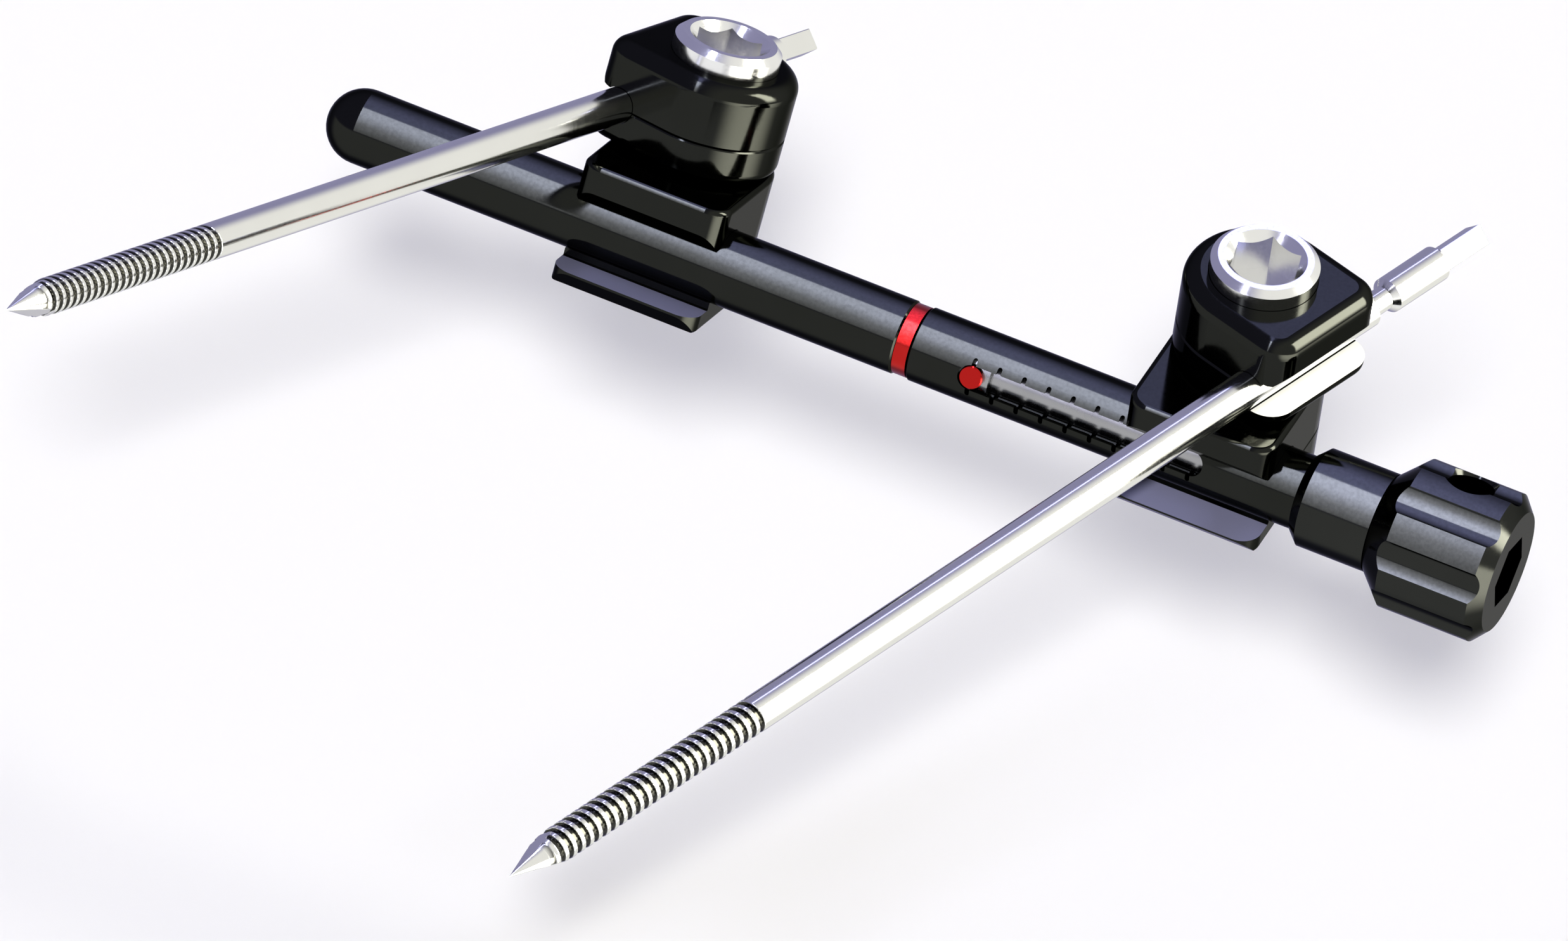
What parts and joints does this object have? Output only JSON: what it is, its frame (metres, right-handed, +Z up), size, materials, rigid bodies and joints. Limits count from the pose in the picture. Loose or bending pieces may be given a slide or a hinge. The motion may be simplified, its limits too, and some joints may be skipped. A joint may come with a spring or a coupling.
{
  "type": "external fixator",
  "caption": "Unilateral external fixator: telescoping distraction rod with scale, index and fluted drive knob, carrying swivel clamps that hold threaded bone pins.",
  "frame": {"origin": "on the rod's axis, at the middle of the red ring where the rod's two halves meet", "axes": "+X along the rod towards the drive knob, +Z up the bolt of clamp a, -Y to the slot and the pin points"},
  "size_m": [0.1335, 0.1444, 0.051],
  "materials": {
    "black_anodised": "gloss black anodised",
    "red_anodised": "red anodised",
    "polished_steel": "polished stainless",
    "shaft_steel": "ground steel",
    "bearing_bronze": "plain bearing bronze"
  },
  "bodies": {
    "tube": {"scale_tube": "black_anodised", "end_housing": "black_anodised", "thrust_washer": "bearing_bronze"},
    "drive": {"drive_shaft": "shaft_steel", "drive_knob": "black_anodised"},
    "domed_half": {"rod_half": "black_anodised", "red_ring": "red_anodised"},
    "index": {"index_pin": "red_anodised"},
    "clamp_a_base": {"rod_plate_a": "black_anodised", "rod_jaw_a": "black_anodised"},
    "clamp_a_head": {"pin_plate_a": "black_anodised", "pin_jaw_a": "black_anodised"},
    "clamp_a_bolt": {"clamp_bolt_a": "polished_steel"},
    "pin_a": {"bone_pin_a": "polished_steel"},
    "clamp_b_base": {"rod_plate_b": "black_anodised", "rod_jaw_b": "black_anodised"},
    "clamp_b_head": {"pin_plate_b": "black_anodised", "pin_jaw_b": "black_anodised"},
    "clamp_b_bolt": {"clamp_bolt_b": "polished_steel"},
    "pin_b": {"bone_pin_b": "polished_steel"}
  },
  "joints": [
    {"name": "knob_turn", "type": "hinge", "parent": "tube", "child": "drive", "pos_m": [0, 0, 0], "axis": [1, 0, 0], "range_deg": [0, 3240.5]},
    {"name": "rod_extend", "type": "slide", "parent": "tube", "child": "domed_half", "axis": [-1, 0, 0], "range_m": [0, 0.02489]},
    {"name": "index_travel", "type": "slide", "parent": "tube", "child": "index", "axis": [1, 0, 0], "range_m": [0, 0.02491]},
    {"name": "clamp_a_swivel", "type": "hinge", "parent": "domed_half", "child": "clamp_a_base", "pos_m": [-0.0298, 0, 0], "axis": [1, 0, 0], "range_deg": [-20, 20]},
    {"name": "head_a_turn", "type": "hinge", "parent": "clamp_a_base", "child": "clamp_a_head", "pos_m": [-0.0298, 0.0092, 0], "axis": [0, 0, 1], "range_deg": [-30, 30]},
    {"name": "bolt_a_turn", "type": "hinge", "parent": "clamp_a_base", "child": "clamp_a_bolt", "pos_m": [-0.0298, 0.0092, 0], "axis": [0, 0, 1], "range_deg": [0, 720]},
    {"name": "pin_a_slide", "type": "slide", "parent": "clamp_a_head", "child": "pin_a", "axis": [0.2351, 0.972, 0], "range_m": [-0.012, 0.06]},
    {"name": "clamp_b_swivel", "type": "hinge", "parent": "tube", "child": "clamp_b_base", "pos_m": [0.0331, 0, 0], "axis": [1, 0, 0], "range_deg": [-20, 20]},
    {"name": "head_b_turn", "type": "hinge", "parent": "clamp_b_base", "child": "clamp_b_head", "pos_m": [0.0331, 0.00861, 0.00323], "axis": [0, -0.351, 0.9364], "range_deg": [-30, 30]},
    {"name": "bolt_b_turn", "type": "hinge", "parent": "clamp_b_base", "child": "clamp_b_bolt", "pos_m": [0.0331, 0.00861, 0.00323], "axis": [0, -0.351, 0.9364], "range_deg": [0, 720]},
    {"name": "pin_b_slide", "type": "slide", "parent": "clamp_b_head", "child": "pin_b", "axis": [0.3107, 0.89, 0.3337], "range_m": [-0.012, 0.06]}
  ],
  "couplings": [
    {"joint": "knob_turn", "follows": "rod_extend", "rad_per_m": 2272.4},
    {"joint": "index_travel", "follows": "rod_extend", "ratio": 1}
  ]
}
